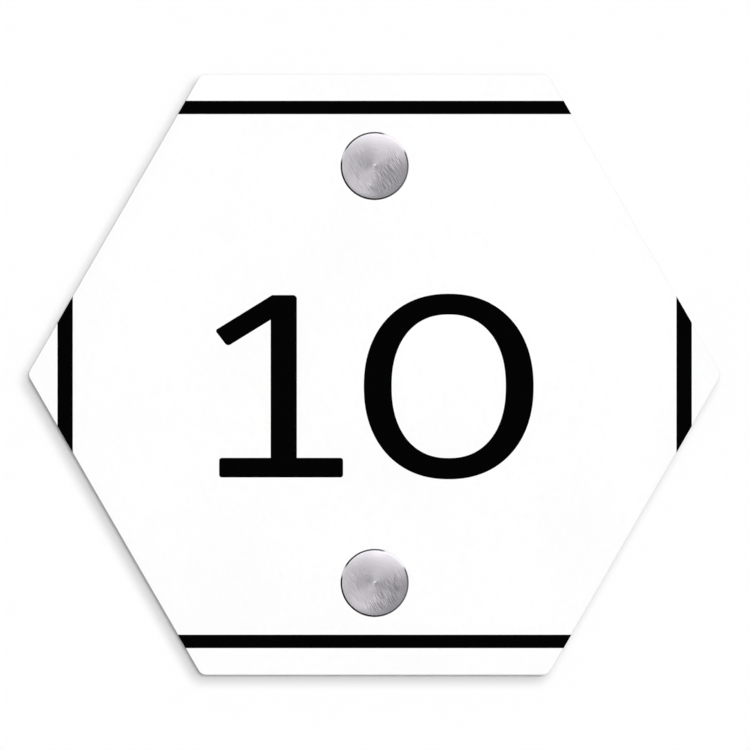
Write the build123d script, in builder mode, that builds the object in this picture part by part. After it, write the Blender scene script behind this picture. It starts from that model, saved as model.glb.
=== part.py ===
from build123d import *
import os

# A hexagonal number plate that two turned stand-offs hold off a door or wall.
# Millimetres. The origin lies midway between the stand-offs in the plane of the wall,
# with +Z up, the face of the plate towards -Y and the wall on the +Y side.

# Plate: a sheet of white cast acrylic, cut to a hexagon with a flat at top and bottom
plate_across_flats = 141.0
plate_thickness = 4.0
plate_corner_radius = 2.0
plate_edge_break = 0.1
fixing_edge_distance = 21.6

# Stand-off: a tapped barrel on the wall, and a cap whose stud screws into it
standoff_diameter = 16.0
barrel_length = 10.0
barrel_edge_chamfer = 0.4
bore_mouth_chamfer = 0.6
thread_diameter = 10.0
cap_thickness = 3.5
cap_bevel_width = 0.45
cap_bevel_depth = 0.35
stud_end_chamfer = 1.0

# Washers: soft discs on both sides of the plate, set in from the rim of the metal
front_washer_thickness = 0.5
rear_washer_thickness = 0.8
washer_inset = 0.5

# Wall screw: a countersunk wood screw through the base of each barrel
screw_length = 30.0
screw_diameter = 4.0
screw_core_diameter = 2.9
screw_head_diameter = 8.0
screw_head_rim = 0.3
screw_neck_length = 0.35
screw_tip_length = 5.0
screw_tip_flat = 0.3
recess_span = 4.4
recess_slot = 1.0
recess_depth = 1.9
recess_taper = 8.0

# Clearances, each on the radius or along the axis
thread_clearance = 0.1
washer_hole_clearance = 0.15
plate_hole_clearance = 0.25
screw_hole_clearance = 0.25
countersink_clearance = 0.05
stud_end_clearance = 1.5

# Radii that the pieces share
rim_radius = standoff_diameter / 2
bore_radius = thread_diameter / 2
stud_radius = bore_radius - thread_clearance
washer_radius = rim_radius - washer_inset
screw_head_radius = screw_head_diameter / 2
screw_radius = screw_diameter / 2
screw_core_radius = screw_core_diameter / 2
screw_hole_radius = screw_radius + screw_hole_clearance
countersink_radius = screw_head_radius + screw_head_rim + countersink_clearance

# Places along Y, with the wall at 0. The base of a barrel is as thick as the screw's head and
# neck are long, so that the thread begins at the wall. Head and countersink are cones of 45 degrees.
head_cone_end = -screw_neck_length
head_cone_start = head_cone_end - (screw_head_radius - screw_core_radius)
bore_floor = head_cone_start - screw_head_rim
countersink_end = bore_floor + countersink_radius - screw_hole_radius
screw_end = bore_floor + screw_length
barrel_front = -barrel_length
plate_back = barrel_front - rear_washer_thickness
plate_front = plate_back - plate_thickness
cap_seat = plate_front - front_washer_thickness
cap_front = cap_seat - cap_thickness
stud_end = bore_floor - stud_end_clearance

# The stand-offs stand one above the other, each at its distance from the flat edge beside it
fixing_pitch = plate_across_flats - 2 * fixing_edge_distance
fixing_heights = {"upper": fixing_pitch / 2, "lower": -fixing_pitch / 2}

os.makedirs("parts", exist_ok=True)

# Hexagonal plate with its outline rounded at the corners and the sharp edges broken
with BuildPart() as plate:
    with BuildSketch(Plane.XZ.offset(-plate_back)) as outline:
        RegularPolygon(plate_across_flats / 2, side_count=6, major_radius=False)
        fillet(outline.vertices(), radius=plate_corner_radius)
    extrude(amount=plate_thickness)
    chamfer(plate.faces().filter_by(Axis.Y).edges(), length=plate_edge_break)
    with Locations(Plane.XZ.offset(-plate_front)):
        with GridLocations(0, fixing_pitch, 1, 2):
            Hole(stud_radius + plate_hole_clearance, depth=plate_thickness)
plate.part.label = "plate"
export_step(plate.part, "parts/plate.step")

# Stand-offs: each turned piece is half its section, spun about the axis of the fixing
for side, height in fixing_heights.items():
    section_plane = Plane.XY.offset(height)
    fixing_axis = Axis((0, 0, height), (0, 1, 0))

    with BuildPart() as barrel:
        with BuildSketch(section_plane):
            with BuildLine():
                Polyline(
                    (screw_hole_radius, 0),
                    (rim_radius - barrel_edge_chamfer, 0),
                    (rim_radius, -barrel_edge_chamfer),
                    (rim_radius, barrel_front + barrel_edge_chamfer),
                    (rim_radius - barrel_edge_chamfer, barrel_front),
                    (bore_radius + bore_mouth_chamfer, barrel_front),
                    (bore_radius, barrel_front + bore_mouth_chamfer),
                    (bore_radius, bore_floor),
                    (countersink_radius, bore_floor),
                    (screw_hole_radius, countersink_end),
                    close=True,
                )
            make_face()
        revolve(axis=fixing_axis)
    barrel.part.label = f"{side}_barrel"
    export_step(barrel.part, f"parts/{side}_barrel.step")

    with BuildPart() as cap:
        with BuildSketch(section_plane):
            with BuildLine():
                Polyline(
                    (0, cap_front),
                    (rim_radius - cap_bevel_width, cap_front),
                    (rim_radius, cap_front + cap_bevel_depth),
                    (rim_radius, cap_seat),
                    (stud_radius, cap_seat),
                    (stud_radius, stud_end - stud_end_chamfer),
                    (stud_radius - stud_end_chamfer, stud_end),
                    (0, stud_end),
                    close=True,
                )
            make_face()
        revolve(axis=fixing_axis)
    cap.part.label = f"{side}_cap"
    export_step(cap.part, f"parts/{side}_cap.step")

    washers = {
        "front": (plate_front, front_washer_thickness),
        "rear": (barrel_front, rear_washer_thickness),
    }
    for place, (washer_back, washer_thickness) in washers.items():
        with BuildPart() as washer:
            with BuildSketch(Plane((0, washer_back, height), x_dir=(1, 0, 0), z_dir=(0, -1, 0))):
                Circle(washer_radius)
                Circle(stud_radius + washer_hole_clearance, mode=Mode.SUBTRACT)
            extrude(amount=washer_thickness)
        washer.part.label = f"{side}_{place}_washer"
        export_step(washer.part, f"parts/{side}_{place}_washer.step")

# Wall screws: countersunk head level with the floor of the bore, plain neck in the barrel's
# base, and the outside of the thread from the wall inwards
with BuildPart() as wall_screws:
    for height in fixing_heights.values():
        with BuildSketch(Plane.XY.offset(height)):
            with BuildLine():
                Polyline(
                    (0, bore_floor),
                    (screw_head_radius, bore_floor),
                    (screw_head_radius, head_cone_start),
                    (screw_core_radius, head_cone_end),
                    (screw_core_radius, 0),
                    (screw_radius, 0),
                    (screw_radius, screw_end - screw_tip_length),
                    (screw_tip_flat, screw_end),
                    (0, screw_end),
                    close=True,
                )
            make_face()
        revolve(axis=Axis((0, 0, height), (0, 1, 0)))
    with BuildSketch(Plane.XZ.offset(-bore_floor)):
        with GridLocations(0, fixing_pitch, 1, 2):
            Rectangle(recess_span, recess_slot)
            Rectangle(recess_slot, recess_span)
    extrude(amount=-recess_depth, taper=recess_taper, mode=Mode.SUBTRACT)
wall_screws.part.label = "wall_screws"
export_step(wall_screws.part, "parts/wall_screws.step")
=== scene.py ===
import math

import bmesh
import bpy
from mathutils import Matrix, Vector


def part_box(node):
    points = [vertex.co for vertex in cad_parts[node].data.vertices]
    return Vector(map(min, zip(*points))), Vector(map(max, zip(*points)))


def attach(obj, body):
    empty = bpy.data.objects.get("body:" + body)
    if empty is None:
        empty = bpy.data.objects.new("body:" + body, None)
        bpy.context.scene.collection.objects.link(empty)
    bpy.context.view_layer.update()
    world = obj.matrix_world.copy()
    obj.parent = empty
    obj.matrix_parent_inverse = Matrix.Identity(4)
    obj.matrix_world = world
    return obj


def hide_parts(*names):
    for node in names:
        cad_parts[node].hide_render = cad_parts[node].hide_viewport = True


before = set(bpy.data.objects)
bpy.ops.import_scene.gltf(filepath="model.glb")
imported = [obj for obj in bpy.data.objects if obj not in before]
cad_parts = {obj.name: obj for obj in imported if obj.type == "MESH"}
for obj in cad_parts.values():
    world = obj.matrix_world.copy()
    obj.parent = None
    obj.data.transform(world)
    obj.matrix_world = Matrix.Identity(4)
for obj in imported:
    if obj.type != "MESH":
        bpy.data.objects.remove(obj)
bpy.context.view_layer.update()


# Wall screws: two countersunk wood screws of zinc-plated steel, cold headed with a cross recess and
# with a rolled thread. Each goes through the base of its barrel and bites into the door or wall.
mm = 0.001
neck_cut = -0.1 * mm
neck_end = 0.1 * mm
neck_radius = 1.45 * mm
screw_root = 1.25 * mm
screw_crest = 2.0 * mm
root_start = 0.5 * mm
screw_pitch = 1.8 * mm
screw_thread_foot = 0.42 * mm
screw_thread_flat = 0.06 * mm
tip_length = 5.0 * mm
tip_radius = 0.12 * mm
screw_steps = 36
weld_distance = 0.001 * mm
screw_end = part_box("wall_screws")[1].y
fixing_heights = [sum(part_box(cap), Vector()).z / 2 for cap in ("upper_cap", "lower_cap")]


def add_lathe(mesh, height, profile, steps):
    """Closed turned solid about the axis of a fixing, from (radius, y) points; both ends are capped."""
    rings = []
    for radius, y in profile:
        ring = []
        for step in range(steps):
            turn = math.tau * step / steps
            ring.append(mesh.verts.new((radius * math.cos(turn), y, height + radius * math.sin(turn))))
        rings.append(ring)
    for near, far in zip(rings, rings[1:]):
        for step in range(steps):
            after = (step + 1) % steps
            mesh.faces.new((near[step], near[after], far[after], far[step]))
    mesh.faces.new(rings[0][::-1])
    mesh.faces.new(rings[-1])


def add_thread(mesh, height, start, end, pitch, foot, flat, depth, root_at, steps):
    """Helical ridge on a root that may taper along it; it rises and sinks over its end turns."""
    sunk = 0.06 * mm
    stations = int((end - start) / pitch * steps)
    sections = []
    for station in range(stations + 1):
        turn = math.tau * station / steps
        y = start + pitch * station / steps
        root = root_at(y) - sunk
        rise = min(1.0, station / steps) * min(1.0, (stations - station) / steps)
        crest = root + sunk + depth * rise * root_at(y) / root_at(start)
        section = []
        for radius, offset in ((root, -foot), (crest, -flat), (crest, flat), (root, foot)):
            x = radius * math.cos(turn)
            z = height + radius * math.sin(turn)
            section.append(mesh.verts.new((x, y + offset, z)))
        sections.append(section)
    for near, far in zip(sections, sections[1:]):
        for side in range(4):
            after = (side + 1) % 4
            mesh.faces.new((near[side], far[side], far[after], near[after]))
    mesh.faces.new(sections[0])
    mesh.faces.new(sections[-1][::-1])


def screw_root_at(y):
    """Radius of the wall screw's root, which narrows to the tip."""
    share = min(1.0, max(0.0, (screw_end - y) / tip_length))
    return tip_radius + (screw_root - tip_radius) * share


def add_piece(name, mesh, finish, crease=30):
    """Turns a bmesh into a piece of the object, smooth up to the given crease in degrees."""
    bmesh.ops.recalc_face_normals(mesh, faces=mesh.faces)
    data = bpy.data.meshes.new(name)
    mesh.to_mesh(data)
    mesh.free()
    data.polygons.foreach_set("use_smooth", [True] * len(data.polygons))
    data.set_sharp_from_angle(angle=math.radians(crease))
    data.materials.append(finish)
    piece = bpy.data.objects.new(name, data)
    bpy.context.scene.collection.objects.link(piece)
    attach(piece, "root")
    return piece


def new_finish(name):
    """A material, its node tree and its Principled shader."""
    finish = bpy.data.materials.new(name)
    finish.use_nodes = True
    return finish, finish.node_tree, finish.node_tree.nodes["Principled BSDF"]


def add_node(tree, kind, values=None, **settings):
    """A node with its settings, and with numbers or joined sockets as its inputs."""
    node = tree.nodes.new(kind)
    for setting, value in settings.items():
        setattr(node, setting, value)
    for socket, value in (values or {}).items():
        set_input(tree, node.inputs[socket], value)
    return node


def set_input(tree, socket, value):
    """Gives a socket a plain value, or joins another socket to it."""
    if isinstance(value, bpy.types.NodeSocket):
        tree.links.new(value, socket)
    else:
        socket.default_value = value


def reckon(tree, operation, *values):
    """Result of a Math node."""
    return add_node(tree, "ShaderNodeMath", dict(enumerate(values)), operation=operation).outputs[0]


def ease(tree, value, start, end, low=0.0, high=1.0):
    """Value eased from low to high while it goes from start to end."""
    node = add_node(
        tree,
        "ShaderNodeMapRange",
        {"Value": value, "From Min": start, "From Max": end, "To Min": low, "To Max": high},
        interpolation_type="SMOOTHSTEP",
    )
    return node.outputs["Result"]


def over_noise(tree, noise, low, high):
    """Value from low to high over the range that a noise mostly has."""
    return ease(tree, noise, 0.3, 0.7, low, high)


def mixed(tree, share, first, second):
    """Colour between two colours, by a share."""
    node = add_node(tree, "ShaderNodeMix", {"Factor": share, "A": first, "B": second}, data_type="RGBA")
    return node.outputs["Result"]


def add_relief(tree, shader, height, strength, distance):
    """Fine relief of a finish, from a height."""
    bump = add_node(
        tree,
        "ShaderNodeBump",
        {"Height": height, "Strength": strength, "Distance": distance},
    )
    set_input(tree, shader.inputs["Normal"], bump.outputs["Normal"])


def new_group(name, inputs, outputs):
    """An empty node group with plain number or vector sockets, and its input and output nodes."""
    group = bpy.data.node_groups.new(name, "ShaderNodeTree")
    for socket, kind in inputs.items():
        group.interface.new_socket(socket, in_out="INPUT", socket_type=kind)
    for socket, kind in outputs.items():
        group.interface.new_socket(socket, in_out="OUTPUT", socket_type=kind)
    return group, group.nodes.new("NodeGroupInput"), group.nodes.new("NodeGroupOutput")


# Fine cloudiness of a finish: slow patches and fine grain, each as a value about one half
cloud_group, cloud_in, cloud_out = new_group(
    "cloudy_patches",
    {"Patch Size": "NodeSocketFloat", "Grain Size": "NodeSocketFloat"},
    {"Patches": "NodeSocketFloat", "Grain": "NodeSocketFloat"},
)
place = add_node(cloud_group, "ShaderNodeTexCoord").outputs["Object"]
for size, result, detail in (("Patch Size", "Patches", 3.0), ("Grain Size", "Grain", 2.0)):
    scale = reckon(cloud_group, "DIVIDE", 1.0, cloud_in.outputs[size])
    noise = add_node(
        cloud_group,
        "ShaderNodeTexNoise",
        {"Vector": place, "Scale": scale, "Detail": detail, "Roughness": 0.55},
    )
    set_input(cloud_group, cloud_out.inputs[result], noise.outputs["Fac"])


def add_cloud(tree, patch_size, grain_size):
    """Places the cloudiness in a finish, with the size of its patches and of its grain."""
    node = add_node(tree, "ShaderNodeGroup", node_tree=cloud_group)
    node.inputs["Patch Size"].default_value = patch_size
    node.inputs["Grain Size"].default_value = grain_size
    return node.outputs


zinc, tree, shader = new_finish("zinc_plate")
cloud = add_cloud(tree, patch_size=2.5 * mm, grain_size=0.25 * mm)
tint = mixed(tree, cloud["Patches"], (0.50, 0.52, 0.56, 1), (0.68, 0.66, 0.58, 1))
set_input(tree, shader.inputs["Base Color"], tint)
set_input(tree, shader.inputs["Roughness"], over_noise(tree, cloud["Patches"], 0.24, 0.42))
add_relief(tree, shader, cloud["Grain"], strength=0.5, distance=0.01 * mm)
shader.inputs["Metallic"].default_value = 1.0

screws = bmesh.new()
screws.from_mesh(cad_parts["wall_screws"].data)
bmesh.ops.remove_doubles(screws, verts=screws.verts, dist=weld_distance)
cut = bmesh.ops.bisect_plane(
    screws,
    geom=screws.verts[:] + screws.edges[:] + screws.faces[:],
    plane_co=(0, neck_cut, 0),
    plane_no=(0, 1, 0),
    clear_outer=True,
)
cut_edges = [part for part in cut["geom_cut"] if isinstance(part, bmesh.types.BMEdge)]
bmesh.ops.holes_fill(screws, edges=cut_edges)
for height in fixing_heights:
    add_lathe(
        screws,
        height,
        (
            (neck_radius, neck_cut),
            (neck_radius, neck_end),
            (screw_root, root_start),
            (screw_root, screw_end - tip_length),
            (tip_radius, screw_end),
        ),
        screw_steps,
    )
    add_thread(
        screws,
        height,
        start=root_start - screw_thread_foot,
        end=screw_end - screw_thread_foot,
        pitch=screw_pitch,
        foot=screw_thread_foot,
        flat=screw_thread_flat,
        depth=screw_crest - screw_root,
        root_at=screw_root_at,
        steps=screw_steps,
    )
threaded_screws = add_piece("threaded_wall_screws", screws, zinc)
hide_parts("wall_screws")


# Barrels: two turned steel barrels that stand on the wall, each held by its screw. They are bored
# and tapped for the cap's stud, and the tool has left fine lines round the outside.
barrel_line_pitch = 0.12 * mm

# Lines of a lathe tool, by the distance across them: a height for bump, and a tone about one
turned_group, turned_in, turned_out = new_group(
    "turned_lines",
    {"Across": "NodeSocketFloat", "Pitch": "NodeSocketFloat"},
    {"Height": "NodeSocketFloat", "Tone": "NodeSocketFloat"},
)
lines = add_node(
    turned_group,
    "ShaderNodeTexNoise",
    {
        "W": reckon(turned_group, "DIVIDE", turned_in.outputs["Across"], turned_in.outputs["Pitch"]),
        "Scale": 1.0,
        "Detail": 3.0,
        "Roughness": 0.6,
    },
    noise_dimensions="1D",
)
set_input(turned_group, turned_out.inputs["Height"], lines.outputs["Fac"])
tone = over_noise(turned_group, lines.outputs["Fac"], 0.88, 1.08)
set_input(turned_group, turned_out.inputs["Tone"], tone)


def add_turned_lines(tree, across, pitch):
    """Places the lathe's lines in a finish, by the distance across them and from line to line."""
    node = add_node(tree, "ShaderNodeGroup", node_tree=turned_group)
    node.inputs["Pitch"].default_value = pitch
    set_input(tree, node.inputs["Across"], across)
    return node.outputs


def toned(tree, colour, tone):
    """Colour made lighter or darker by a tone about one."""
    node = add_node(
        tree,
        "ShaderNodeMix",
        {"Factor": 1.0, "A": colour, "B": tone},
        data_type="RGBA",
        blend_type="MULTIPLY",
    )
    return node.outputs["Result"]


def turn_gloss(tree, shader, share):
    """Bare metal whose gloss is drawn out across lines that run round the Y axis."""
    round_axis = add_node(tree, "ShaderNodeTangent", direction_type="RADIAL", axis="Y")
    set_input(tree, shader.inputs["Tangent"], round_axis.outputs["Tangent"])
    shader.inputs["Metallic"].default_value = 1.0
    shader.inputs["Anisotropic"].default_value = share
    shader.inputs["Anisotropic Rotation"].default_value = 0.25


barrel_metal, tree, shader = new_finish("turned_barrel_metal")
place = add_node(tree, "ShaderNodeTexCoord").outputs["Object"]
along = add_node(tree, "ShaderNodeSeparateXYZ", {"Vector": place}).outputs["Y"]
turned = add_turned_lines(tree, along, barrel_line_pitch)
cloud = add_cloud(tree, patch_size=4.0 * mm, grain_size=0.2 * mm)
tint = toned(tree, (0.56, 0.555, 0.575, 1), turned["Tone"])
set_input(tree, shader.inputs["Base Color"], tint)
set_input(tree, shader.inputs["Roughness"], over_noise(tree, cloud["Patches"], 0.28, 0.36))
add_relief(tree, shader, turned["Height"], strength=0.6, distance=0.006 * mm)
turn_gloss(tree, shader, 0.6)
for node in ("upper_barrel", "lower_barrel"):
    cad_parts[node].material_slots[0].material = barrel_metal
    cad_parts[node].visible_diffuse = False


# Rear washers: punched discs of soft milky plastic between each barrel and the back of the plate,
# so that the metal doesn't mark or crack the acrylic. They are only clamped.
milky, tree, shader = new_finish("milky_washer_plastic")
cloud = add_cloud(tree, patch_size=3.0 * mm, grain_size=0.15 * mm)
tint = mixed(tree, cloud["Patches"], (0.78, 0.79, 0.78, 1), (0.86, 0.87, 0.86, 1))
set_input(tree, shader.inputs["Base Color"], tint)
set_input(tree, shader.inputs["Roughness"], over_noise(tree, cloud["Grain"], 0.38, 0.55))
add_relief(tree, shader, cloud["Grain"], strength=0.4, distance=0.01 * mm)
for node in ("upper_rear_washer", "lower_rear_washer"):
    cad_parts[node].material_slots[0].material = milky


# Plate: a hexagon cut from 4 mm white cast acrylic, with smooth faces, edges that are just broken
# and fine marks of the saw across the cut edge. The two stand-offs clamp it through its holes.
saw_mark_width = 0.3 * mm
saw_mark_length = 9.0 * mm

acrylic, tree, shader = new_finish("white_cast_acrylic")
cloud = add_cloud(tree, patch_size=25.0 * mm, grain_size=1.2 * mm)
facing = add_node(tree, "ShaderNodeNewGeometry").outputs["True Normal"]
facing_y = add_node(tree, "ShaderNodeSeparateXYZ", {"Vector": facing}).outputs["Y"]
cut_edge = ease(tree, reckon(tree, "ABSOLUTE", facing_y), 0.75, 0.3)
place = add_node(tree, "ShaderNodeTexCoord").outputs["Object"]
saw_space = add_node(
    tree,
    "ShaderNodeMapping",
    {"Vector": place, "Scale": (1 / saw_mark_width, 1 / saw_mark_length, 1 / saw_mark_width)},
)
saw_marks = add_node(
    tree,
    "ShaderNodeTexNoise",
    {"Vector": saw_space.outputs["Vector"], "Scale": 1.0, "Detail": 2.0},
)
face_tint = mixed(tree, cloud["Patches"], (0.942, 0.942, 0.942, 1), (0.955, 0.955, 0.953, 1))
edge_tint = mixed(tree, saw_marks.outputs["Fac"], (0.80, 0.80, 0.80, 1), (0.93, 0.93, 0.93, 1))
tint = mixed(tree, cut_edge, face_tint, edge_tint)
set_input(tree, shader.inputs["Base Color"], tint)
face_gloss = over_noise(tree, cloud["Patches"], 0.05, 0.09)
set_input(tree, shader.inputs["Roughness"], reckon(tree, "MULTIPLY_ADD", cut_edge, 0.28, face_gloss))
saw_height = reckon(tree, "MULTIPLY", cut_edge, saw_marks.outputs["Fac"])
add_relief(tree, shader, saw_height, strength=0.5, distance=0.02 * mm)
shader.inputs["IOR"].default_value = 1.49
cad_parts["plate"].material_slots[0].material = acrylic
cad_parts["plate"].visible_diffuse = False


# Print: black ink laid on the face in a thin raised layer. Four lines of a frame run out over the
# broken edge of the plate, and the number stands in the middle between the two fixings.
ink_thickness = 0.04 * mm
ink_bite = 0.02 * mm
edge_break = 0.1 * mm
plate_low, plate_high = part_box("plate")
face_y = plate_low.y
half_flats = plate_high.z
edge_slope = math.radians(30)
frame_line_height = 62.65 * mm
frame_line_side = 72.63 * mm
level_line_width = 3.14 * mm
upright_line_width = 3.6 * mm

ink, tree, shader = new_finish("black_ink")
cloud = add_cloud(tree, patch_size=6.0 * mm, grain_size=0.18 * mm)
tint = mixed(tree, cloud["Grain"], (0.0004, 0.0004, 0.0005, 1), (0.001, 0.001, 0.0012, 1))
set_input(tree, shader.inputs["Base Color"], tint)
set_input(tree, shader.inputs["Roughness"], over_noise(tree, cloud["Patches"], 0.42, 0.55))
add_relief(tree, shader, cloud["Grain"], strength=0.3, distance=0.01 * mm)
shader.inputs["Specular IOR Level"].default_value = 0.01


def slope_reach(other, beyond, level):
    """How far the sloping edge of the face lies from the middle, on a level or an upright line."""
    from_middle = half_flats + beyond
    if level:
        return (from_middle - abs(other) * math.sin(edge_slope)) / math.cos(edge_slope)
    return (from_middle - abs(other) * math.cos(edge_slope)) / math.sin(edge_slope)


def add_frame_line(name, middle, width, level):
    """One line of the printed frame, which bends down over the broken edge at both ends."""
    over_edge = ink_thickness * math.tan(math.radians(22.5))
    slant = math.sqrt(0.5)
    rows = {
        "top": (
            (slant * ink_thickness, face_y + edge_break - slant * ink_thickness),
            (over_edge - edge_break, face_y - ink_thickness),
        ),
        "under": (
            (-slant * ink_bite, face_y + edge_break + slant * ink_bite),
            (-edge_break - over_edge, face_y + ink_bite),
        ),
    }
    line = bmesh.new()
    points = {}
    for layer, stations in rows.items():
        for side in (-1, 1):
            other = middle + side * width / 2
            row = []
            ends = [(-1, stations[0]), (-1, stations[1]), (1, stations[1]), (1, stations[0])]
            for end, (beyond, y) in ends:
                reach = end * slope_reach(other, beyond, level)
                row.append(line.verts.new((reach, y, other) if level else (other, y, reach)))
            points[layer, side] = row
    around = [points["top", -1], points["top", 1], points["under", 1], points["under", -1]]
    for near, far in zip(around, around[1:] + around[:1]):
        for step in range(3):
            line.faces.new((near[step], near[step + 1], far[step + 1], far[step]))
    for end in (0, 3):
        line.faces.new([row[end] for row in around])
    add_piece(name, line, ink)


add_frame_line("frame_line_top", frame_line_height, level_line_width, True)
add_frame_line("frame_line_bottom", -frame_line_height, level_line_width, True)
add_frame_line("frame_line_left", -frame_line_side, upright_line_width, False)
add_frame_line("frame_line_right", frame_line_side, upright_line_width, False)


def add_ink_field(name, outer, inner=None):
    """A raised field of ink inside one outline, or between two outlines with as many points each."""
    field = bmesh.new()
    loops = []
    for outline in filter(None, (outer, inner)):
        for y in (face_y - ink_thickness, face_y + ink_bite):
            loops.append([field.verts.new((x, y, z)) for x, z in outline])
    bands = [(loops[0], loops[1])]
    if inner:
        bands += [(loops[2], loops[3]), (loops[0], loops[2]), (loops[1], loops[3])]
    else:
        field.faces.new(loops[0])
        field.faces.new(loops[1])
    for near, far in bands:
        for step in range(len(near)):
            after = (step + 1) % len(near)
            field.faces.new((near[step], near[after], far[after], far[step]))
    add_piece(name, field, ink)


def rounded_outline(corners, arc_steps=6):
    """Outline through (x, z, radius) corners, each rounded by an arc of its radius."""
    outline = []
    for number, (x, z, radius) in enumerate(corners):
        corner = Vector((x, z))
        if radius == 0:
            outline.append(corner)
            continue
        back = (Vector(corners[number - 1][:2]) - corner).normalized()
        ahead = (Vector(corners[(number + 1) % len(corners)][:2]) - corner).normalized()
        half_angle = back.angle(ahead) / 2
        centre = corner + (back + ahead).normalized() * radius / math.sin(half_angle)
        start = corner + back * radius / math.tan(half_angle) - centre
        sweep = start.angle_signed(corner + ahead * radius / math.tan(half_angle) - centre)
        for step in range(arc_steps + 1):
            turn = -sweep * step / arc_steps
            swung = Vector(
                (
                    start.x * math.cos(turn) - start.y * math.sin(turn),
                    start.x * math.sin(turn) + start.y * math.cos(turn),
                )
            )
            outline.append(centre + swung)
    return outline


# The one: a stem on a broad foot, with a flag that slopes down to the left
number_foot = -24.17 * mm
number_top = 18.63 * mm
foot_top = -19.57 * mm
foot_left = -36.49 * mm
foot_right = -7.4 * mm
stem_left = -24.4 * mm
stem_right = -18.25 * mm
flag_top = -24.04 * mm
flag_under = 12.83 * mm
flag_tip_high = (-37.46 * mm, 10.34 * mm)
flag_tip_low = (-34.56 * mm, 6.57 * mm)
foot_round = 0.65 * mm
tip_round = 0.55 * mm
stem_round = 0.9 * mm
add_ink_field(
    "number_one",
    rounded_outline(
        [
            (stem_left, foot_top, 0),
            (foot_left, foot_top, foot_round),
            (foot_left, number_foot, foot_round),
            (foot_right, number_foot, foot_round),
            (foot_right, foot_top, foot_round),
            (stem_right, foot_top, 0),
            (stem_right, number_top, stem_round),
            (flag_top, number_top, tip_round),
            (*flag_tip_high, tip_round),
            (*flag_tip_low, stem_round),
            (stem_left, flag_under, 0),
        ]
    ),
)


# The nought: a band between two ovals that are a little fuller than ellipses
oval_steps = 160
nought_middle = 17.39 * mm


def full_oval(centre_z, half_width, half_height, fullness):
    """Outline of an oval whose shoulders fill out as fullness rises above 2."""
    outline = []
    for step in range(oval_steps):
        turn = math.tau * step / oval_steps
        across, up = math.cos(turn), math.sin(turn)
        x = nought_middle + half_width * math.copysign(abs(across) ** (2 / fullness), across)
        z = centre_z + half_height * math.copysign(abs(up) ** (2 / fullness), up)
        outline.append((x, z))
    return outline


add_ink_field(
    "number_nought",
    full_oval(-2.83 * mm, 19.93 * mm, 21.77 * mm, 2.19),
    full_oval(-2.78 * mm, 13.39 * mm, 16.84 * mm, 2.255),
)


# Front washers: thinner discs of the same milky plastic under each cap's rim, out of sight from
# the front. The cap's stud passes through them.
for node in ("upper_front_washer", "lower_front_washer"):
    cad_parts[node].material_slots[0].material = milky
    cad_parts[node].visible_shadow = False


# Caps: turned steel heads with a bevelled rim and a faintly crowned face, which still shows the
# lathe's centre pip, fine circular lines and straight scratches. Their studs screw into the barrels.
cap_steps = 96
pip_radius = 0.5 * mm
pip_height = 0.05 * mm
pip_rings = (0.05, 0.25, 0.5, 0.75)
crown_drop = 0.35 * mm
crown_power = 3
crown_rings = 12
shoulder_width = 0.06 * mm
shoulder_depth = 0.015 * mm
bevel_width = 0.39 * mm
bevel_depth = 0.304 * mm
rim_break = 0.1 * mm
stud_root = 4.1 * mm
stud_crest = 4.9 * mm
stud_pitch = 1.5 * mm
stud_lead_in = 0.7 * mm
stud_thread_foot = 0.62 * mm
stud_thread_flat = 0.1 * mm
cap_line_pitch = 0.14 * mm
scratch_angle = 61
scratch_length = 2.4 * mm
scratch_spacing = 0.19 * mm
scratch_offset = (4.3, 0.0, 2.6)
cap_low, cap_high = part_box("upper_cap")
rim_radius = (cap_high.x - cap_low.x) / 2
cap_front = cap_low.y
cap_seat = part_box("upper_front_washer")[0].y
stud_end = cap_high.y

cap_metal, tree, shader = new_finish("turned_cap_metal")
coordinates = add_node(tree, "ShaderNodeTexCoord").outputs
from_centre = add_node(
    tree,
    "ShaderNodeVectorMath",
    {0: coordinates["Generated"], 1: (0.5, 0.5, 0.5)},
    operation="SUBTRACT",
).outputs["Vector"]
flat_place = add_node(
    tree,
    "ShaderNodeVectorMath",
    {0: from_centre, 1: (2 * rim_radius, 0.0, 2 * rim_radius)},
    operation="MULTIPLY",
).outputs["Vector"]
flat_axes = add_node(tree, "ShaderNodeSeparateXYZ", {"Vector": flat_place}).outputs
radius = add_node(tree, "ShaderNodeVectorMath", {0: flat_place}, operation="LENGTH").outputs["Value"]
on_bevel = ease(tree, radius, rim_radius - bevel_width - shoulder_width, rim_radius - bevel_width)
depth = add_node(tree, "ShaderNodeSeparateXYZ", {"Vector": coordinates["Object"]}).outputs["Y"]
turned = add_turned_lines(tree, reckon(tree, "ADD", radius, depth), cap_line_pitch)
cloud = add_cloud(tree, patch_size=3.5 * mm, grain_size=0.3 * mm)

# Scratches run down to the right, most of them in the lower right of the face and some on the left,
# and they stop short of the rim
scratch_turn = add_node(
    tree,
    "ShaderNodeVectorRotate",
    {"Vector": coordinates["Object"], "Angle": math.radians(-scratch_angle)},
    rotation_type="Y_AXIS",
).outputs["Vector"]
scratch_space = add_node(
    tree,
    "ShaderNodeMapping",
    {
        "Vector": scratch_turn,
        "Location": scratch_offset,
        "Scale": (1 / scratch_length, 0.0, 1 / scratch_spacing),
    },
)
scratch_noise = add_node(
    tree,
    "ShaderNodeTexNoise",
    {"Vector": scratch_space.outputs["Vector"], "Scale": 1.0, "Detail": 0.0},
).outputs["Fac"]
scratch_lines = ease(tree, scratch_noise, 0.4, 0.6, 1.0, -1.0)
lower_right = ease(tree, reckon(tree, "SUBTRACT", flat_axes["X"], flat_axes["Z"]), 0.3 * mm, 4.0 * mm)
left_side = ease(tree, flat_axes["X"], -1.0 * mm, -4.5 * mm, 0.0, 0.35)
scratch_place = reckon(tree, "MAXIMUM", lower_right, left_side)
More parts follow.
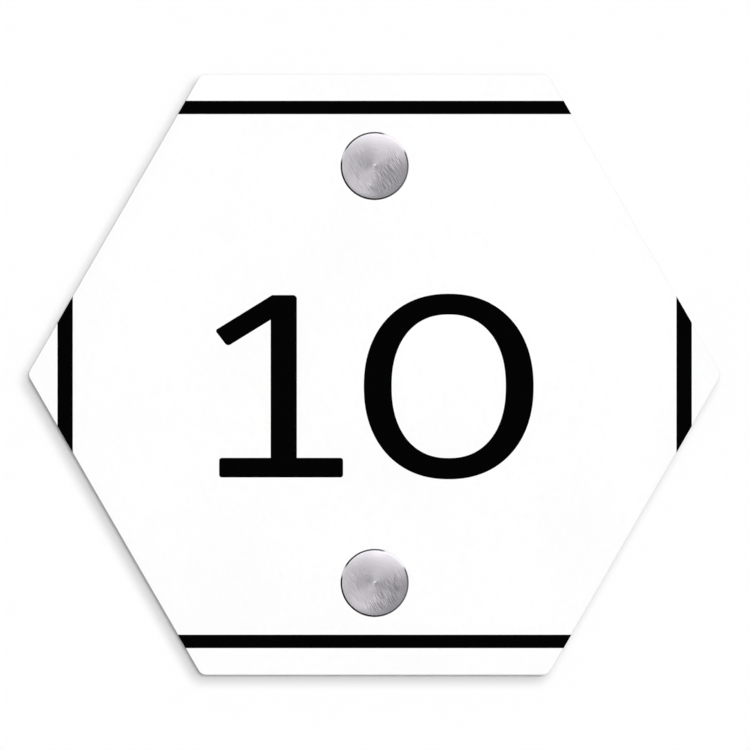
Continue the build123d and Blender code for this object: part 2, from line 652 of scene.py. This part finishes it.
scratch_patches = ease(tree, cloud["Patches"], 0.36, 0.58, 0.6, 1.0)
inside_rim = ease(tree, radius, 7.0 * mm, 5.8 * mm)
scratch_share = reckon(tree, "MULTIPLY", scratch_place, scratch_patches)
scratch_share = reckon(tree, "MULTIPLY", scratch_share, inside_rim)
scratches = reckon(tree, "MULTIPLY", scratch_lines, scratch_share)
scratch_tone = reckon(tree, "MULTIPLY_ADD", scratches, 0.27, 1.0)
tone = reckon(tree, "MULTIPLY", scratch_tone, turned["Tone"])
tint = toned(tree, (0.602, 0.580, 0.618, 1), tone)
set_input(tree, shader.inputs["Base Color"], tint)
face_gloss = over_noise(tree, cloud["Patches"], 0.235, 0.275)
set_input(tree, shader.inputs["Roughness"], reckon(tree, "MULTIPLY_ADD", on_bevel, -0.165, face_gloss))
cut_height = reckon(tree, "MULTIPLY_ADD", scratches, 0.5, turned["Height"])
add_relief(tree, shader, cut_height, strength=0.4, distance=0.005 * mm)
turn_gloss(tree, shader, 0.75)


def cap_profile():
    """Half section of a cap from its centre pip over the crown and the rim to the end of the stud."""
    points = []
    for radius_share in pip_rings:
        fall = radius_share * radius_share * (3 - 2 * radius_share)
        points.append((pip_radius * radius_share, cap_front + pip_height * fall))
    crown_edge = rim_radius - bevel_width - shoulder_width
    for ring in range(crown_rings + 1):
        radius = pip_radius + (crown_edge - pip_radius) * ring / crown_rings
        points.append((radius, cap_front + pip_height + crown_drop * (radius / crown_edge) ** crown_power))
    shoulder_end = points[-1][1] + shoulder_depth
    return points + [
        (rim_radius - bevel_width, shoulder_end),
        (rim_radius, shoulder_end + bevel_depth),
        (rim_radius, cap_seat - rim_break),
        (rim_radius - rim_break, cap_seat),
        (stud_root, cap_seat),
        (stud_root, stud_end - stud_lead_in),
        (stud_root - stud_lead_in, stud_end),
    ]


for cap, height in zip(("upper_cap", "lower_cap"), fixing_heights):
    turned_cap = bmesh.new()
    add_lathe(turned_cap, height, cap_profile(), cap_steps)
    add_thread(
        turned_cap,
        height,
        start=cap_seat + stud_pitch / 2,
        end=stud_end - stud_lead_in,
        pitch=stud_pitch,
        foot=stud_thread_foot,
        flat=stud_thread_flat,
        depth=stud_crest - stud_root,
        root_at=lambda y: stud_root,
        steps=cap_steps // 2,
    )
    piece = add_piece("turned_" + cap, turned_cap, cap_metal, crease=18)
    piece.visible_shadow = False
    piece.visible_diffuse = False
    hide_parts(cap)


# Wall: the white face that the barrels stand on, which catches the plate's shadow. It isn't part of
# the object: seen from behind it is clear, and only the camera sees it at all.
wall_half = 8.0
wall_gap = 0.2 * mm
wall_white = (0.94, 0.94, 0.94, 1)
wall_data = bpy.data.meshes.new("wall")
wall_data.from_pydata(
    [
        (-wall_half, wall_gap, -wall_half),
        (wall_half, wall_gap, -wall_half),
        (wall_half, wall_gap, wall_half),
        (-wall_half, wall_gap, wall_half),
    ],
    [],
    [(0, 1, 2, 3)],
)
wall = bpy.data.objects.new("wall", wall_data)
bpy.context.scene.collection.objects.link(wall)
white_wall, tree, shader = new_finish("white_wall")
tree.nodes.remove(shader)
wall_colour = add_node(tree, "ShaderNodeBsdfDiffuse", {"Color": wall_white})
clear = add_node(tree, "ShaderNodeBsdfTransparent")
from_behind = add_node(tree, "ShaderNodeNewGeometry").outputs["Backfacing"]
either = add_node(
    tree,
    "ShaderNodeMixShader",
    {0: from_behind, 1: wall_colour.outputs["BSDF"], 2: clear.outputs["BSDF"]},
)
set_input(tree, tree.nodes["Material Output"].inputs["Surface"], either.outputs["Shader"])
wall_data.materials.append(white_wall)
wall.visible_diffuse = False
wall.visible_glossy = False
wall.visible_transmission = False
wall.visible_shadow = False


# Light: a wide and a narrow key from the upper right, which cast the soft shadow and its dark core,
# an even fill from the front that casts none, and two lamps behind the wall for edges and back.
def add_lamp(name, towards, share, spread, shadow=True):
    """Distant lamp in a direction from the object; its share is that of the light on a white face."""
    data = bpy.data.lights.new(name, "SUN")
    data.energy = share * math.pi
    data.angle = math.radians(spread)
    data.use_shadow = shadow
    lamp = bpy.data.objects.new(name, data)
    lamp.rotation_mode = "QUATERNION"
    lamp.rotation_quaternion = Vector(towards).to_track_quat("Z", "Y")
    lamp.visible_glossy = False
    bpy.context.scene.collection.objects.link(lamp)


add_lamp("wide_key", (0.0931, -1.0, 0.1027), 0.50, 16.5)
add_lamp("near_key", (0.0271, -1.0, 0.0271), 0.35, 3.7)
add_lamp("fill", (0.0, -1.0, 0.0), 0.155, 5, shadow=False)
add_lamp("back_left", (-0.5, 0.75, 0.45), 0.5, 20)
add_lamp("back_right", (0.55, 0.75, 0.3), 0.5, 20)


# Surroundings: pale for the camera and dim for matt faces. Metal sees a room with a grey floor, a
# light ceiling and left wall, a soft box at the upper right and a strip low on the left, and beside
# the plate a dark band with two gaps, which rims the bevels of the caps.
camera_level = 0.96
matt_level = 0.06
floor_level = 0.31
floor_right_level = 0.5
ceiling_level = 1.45
left_wall_level = 0.72
soft_box_aim = (0.208, -0.94, 0.271)
soft_box_level = 1.08
low_strip_aim = (-0.113, -0.977, -0.182)
low_strip_level = 1.2
band_dark_level = 0.02
band_pale_level = 0.22
right_gap_aim = (0.643, 0.0, 0.766)
right_gap_level = 1.6
left_gap_aim = (-0.94, 0.0, 0.342)
left_gap_level = 1.2

world = bpy.data.worlds.new("studio")
bpy.context.scene.world = world
world.use_nodes = True
tree = world.node_tree
looking = add_node(tree, "ShaderNodeTexCoord").outputs["Generated"]
direction = add_node(tree, "ShaderNodeSeparateXYZ", {"Vector": looking}).outputs


def towards_share(aim, start, end):
    """One in a direction and nought away from it, eased between two cosines."""
    cosine = add_node(
        tree,
        "ShaderNodeVectorMath",
        {0: looking, 1: Vector(aim).normalized()},
        operation="DOT_PRODUCT",
    ).outputs["Value"]
    return ease(tree, cosine, start, end)


def blended(share, base, other):
    """Base value blended into another by a share."""
    node = add_node(tree, "ShaderNodeMix", {"Factor": share, "A": base, "B": other}, data_type="FLOAT")
    return node.outputs["Result"]


near_axis = ease(tree, direction["Y"], -0.83, -0.94, 0.08, 1.0)
ceiling = ease(tree, direction["Z"], 0.18, 0.32, 0.0, ceiling_level)
to_lower_right = reckon(tree, "MULTIPLY_ADD", direction["Z"], -0.6, direction["X"])
floor = ease(tree, to_lower_right, 0.17, 0.4, floor_level, floor_right_level)
room = reckon(tree, "MULTIPLY_ADD", near_axis, ceiling, floor)
to_upper_left = reckon(tree, "MULTIPLY_ADD", direction["Z"], -0.4, direction["X"])
left_wall = ease(tree, to_upper_left, -0.02, -0.16, 0.0, left_wall_level)
above_skirting = ease(tree, direction["Z"], -0.22, -0.04, 0.3, 1.0)
room = reckon(tree, "MULTIPLY_ADD", left_wall, above_skirting, room)
soft_box = towards_share(soft_box_aim, 0.955, 0.99)
room = reckon(tree, "MULTIPLY_ADD", soft_box, soft_box_level, room)
low_strip = towards_share(low_strip_aim, 0.988, 0.998)
room = reckon(tree, "MULTIPLY_ADD", low_strip, low_strip_level, room)
band_front = ease(tree, direction["Y"], -0.55, -0.38)
band_back = ease(tree, direction["Y"], 0.0, -0.16)
band = reckon(tree, "MULTIPLY", band_front, band_back)
to_upper_right = reckon(tree, "MULTIPLY_ADD", direction["Z"], 0.6, direction["X"])
band_light = ease(tree, to_upper_right, -0.9, 0.95, band_dark_level, band_pale_level)
room = blended(band, room, band_light)
room = blended(towards_share(right_gap_aim, 0.86, 0.92), room, right_gap_level)
room = blended(towards_share(left_gap_aim, 0.9555, 0.9592), room, left_gap_level)
light_path = add_node(tree, "ShaderNodeLightPath").outputs
seen_in_gloss = reckon(tree, "MAXIMUM", light_path["Is Glossy Ray"], light_path["Is Transmission Ray"])
surroundings = blended(seen_in_gloss, matt_level, room)
surroundings = blended(light_path["Is Camera Ray"], surroundings, camera_level)
set_input(tree, tree.nodes["Background"].inputs["Color"], surroundings)


# Camera: a long lens square on to the face, so far away that the plate shows no side. It stands a
# hair low and to the right, because the plate isn't quite in the middle of the picture.
camera_distance = 7.0
picture_width = 176.0 * mm
camera_side = 0.09 * mm
camera_height = -0.13 * mm
camera_data = bpy.data.cameras.new("camera")
camera_data.lens = camera_data.sensor_width * camera_distance / picture_width
camera = bpy.data.objects.new("camera", camera_data)
camera.location = (camera_side, face_y - camera_distance, camera_height)
camera.rotation_euler = (math.radians(90), 0, 0)
bpy.context.scene.collection.objects.link(camera)
bpy.context.scene.camera = camera
bpy.context.scene.view_settings.view_transform = "Standard"
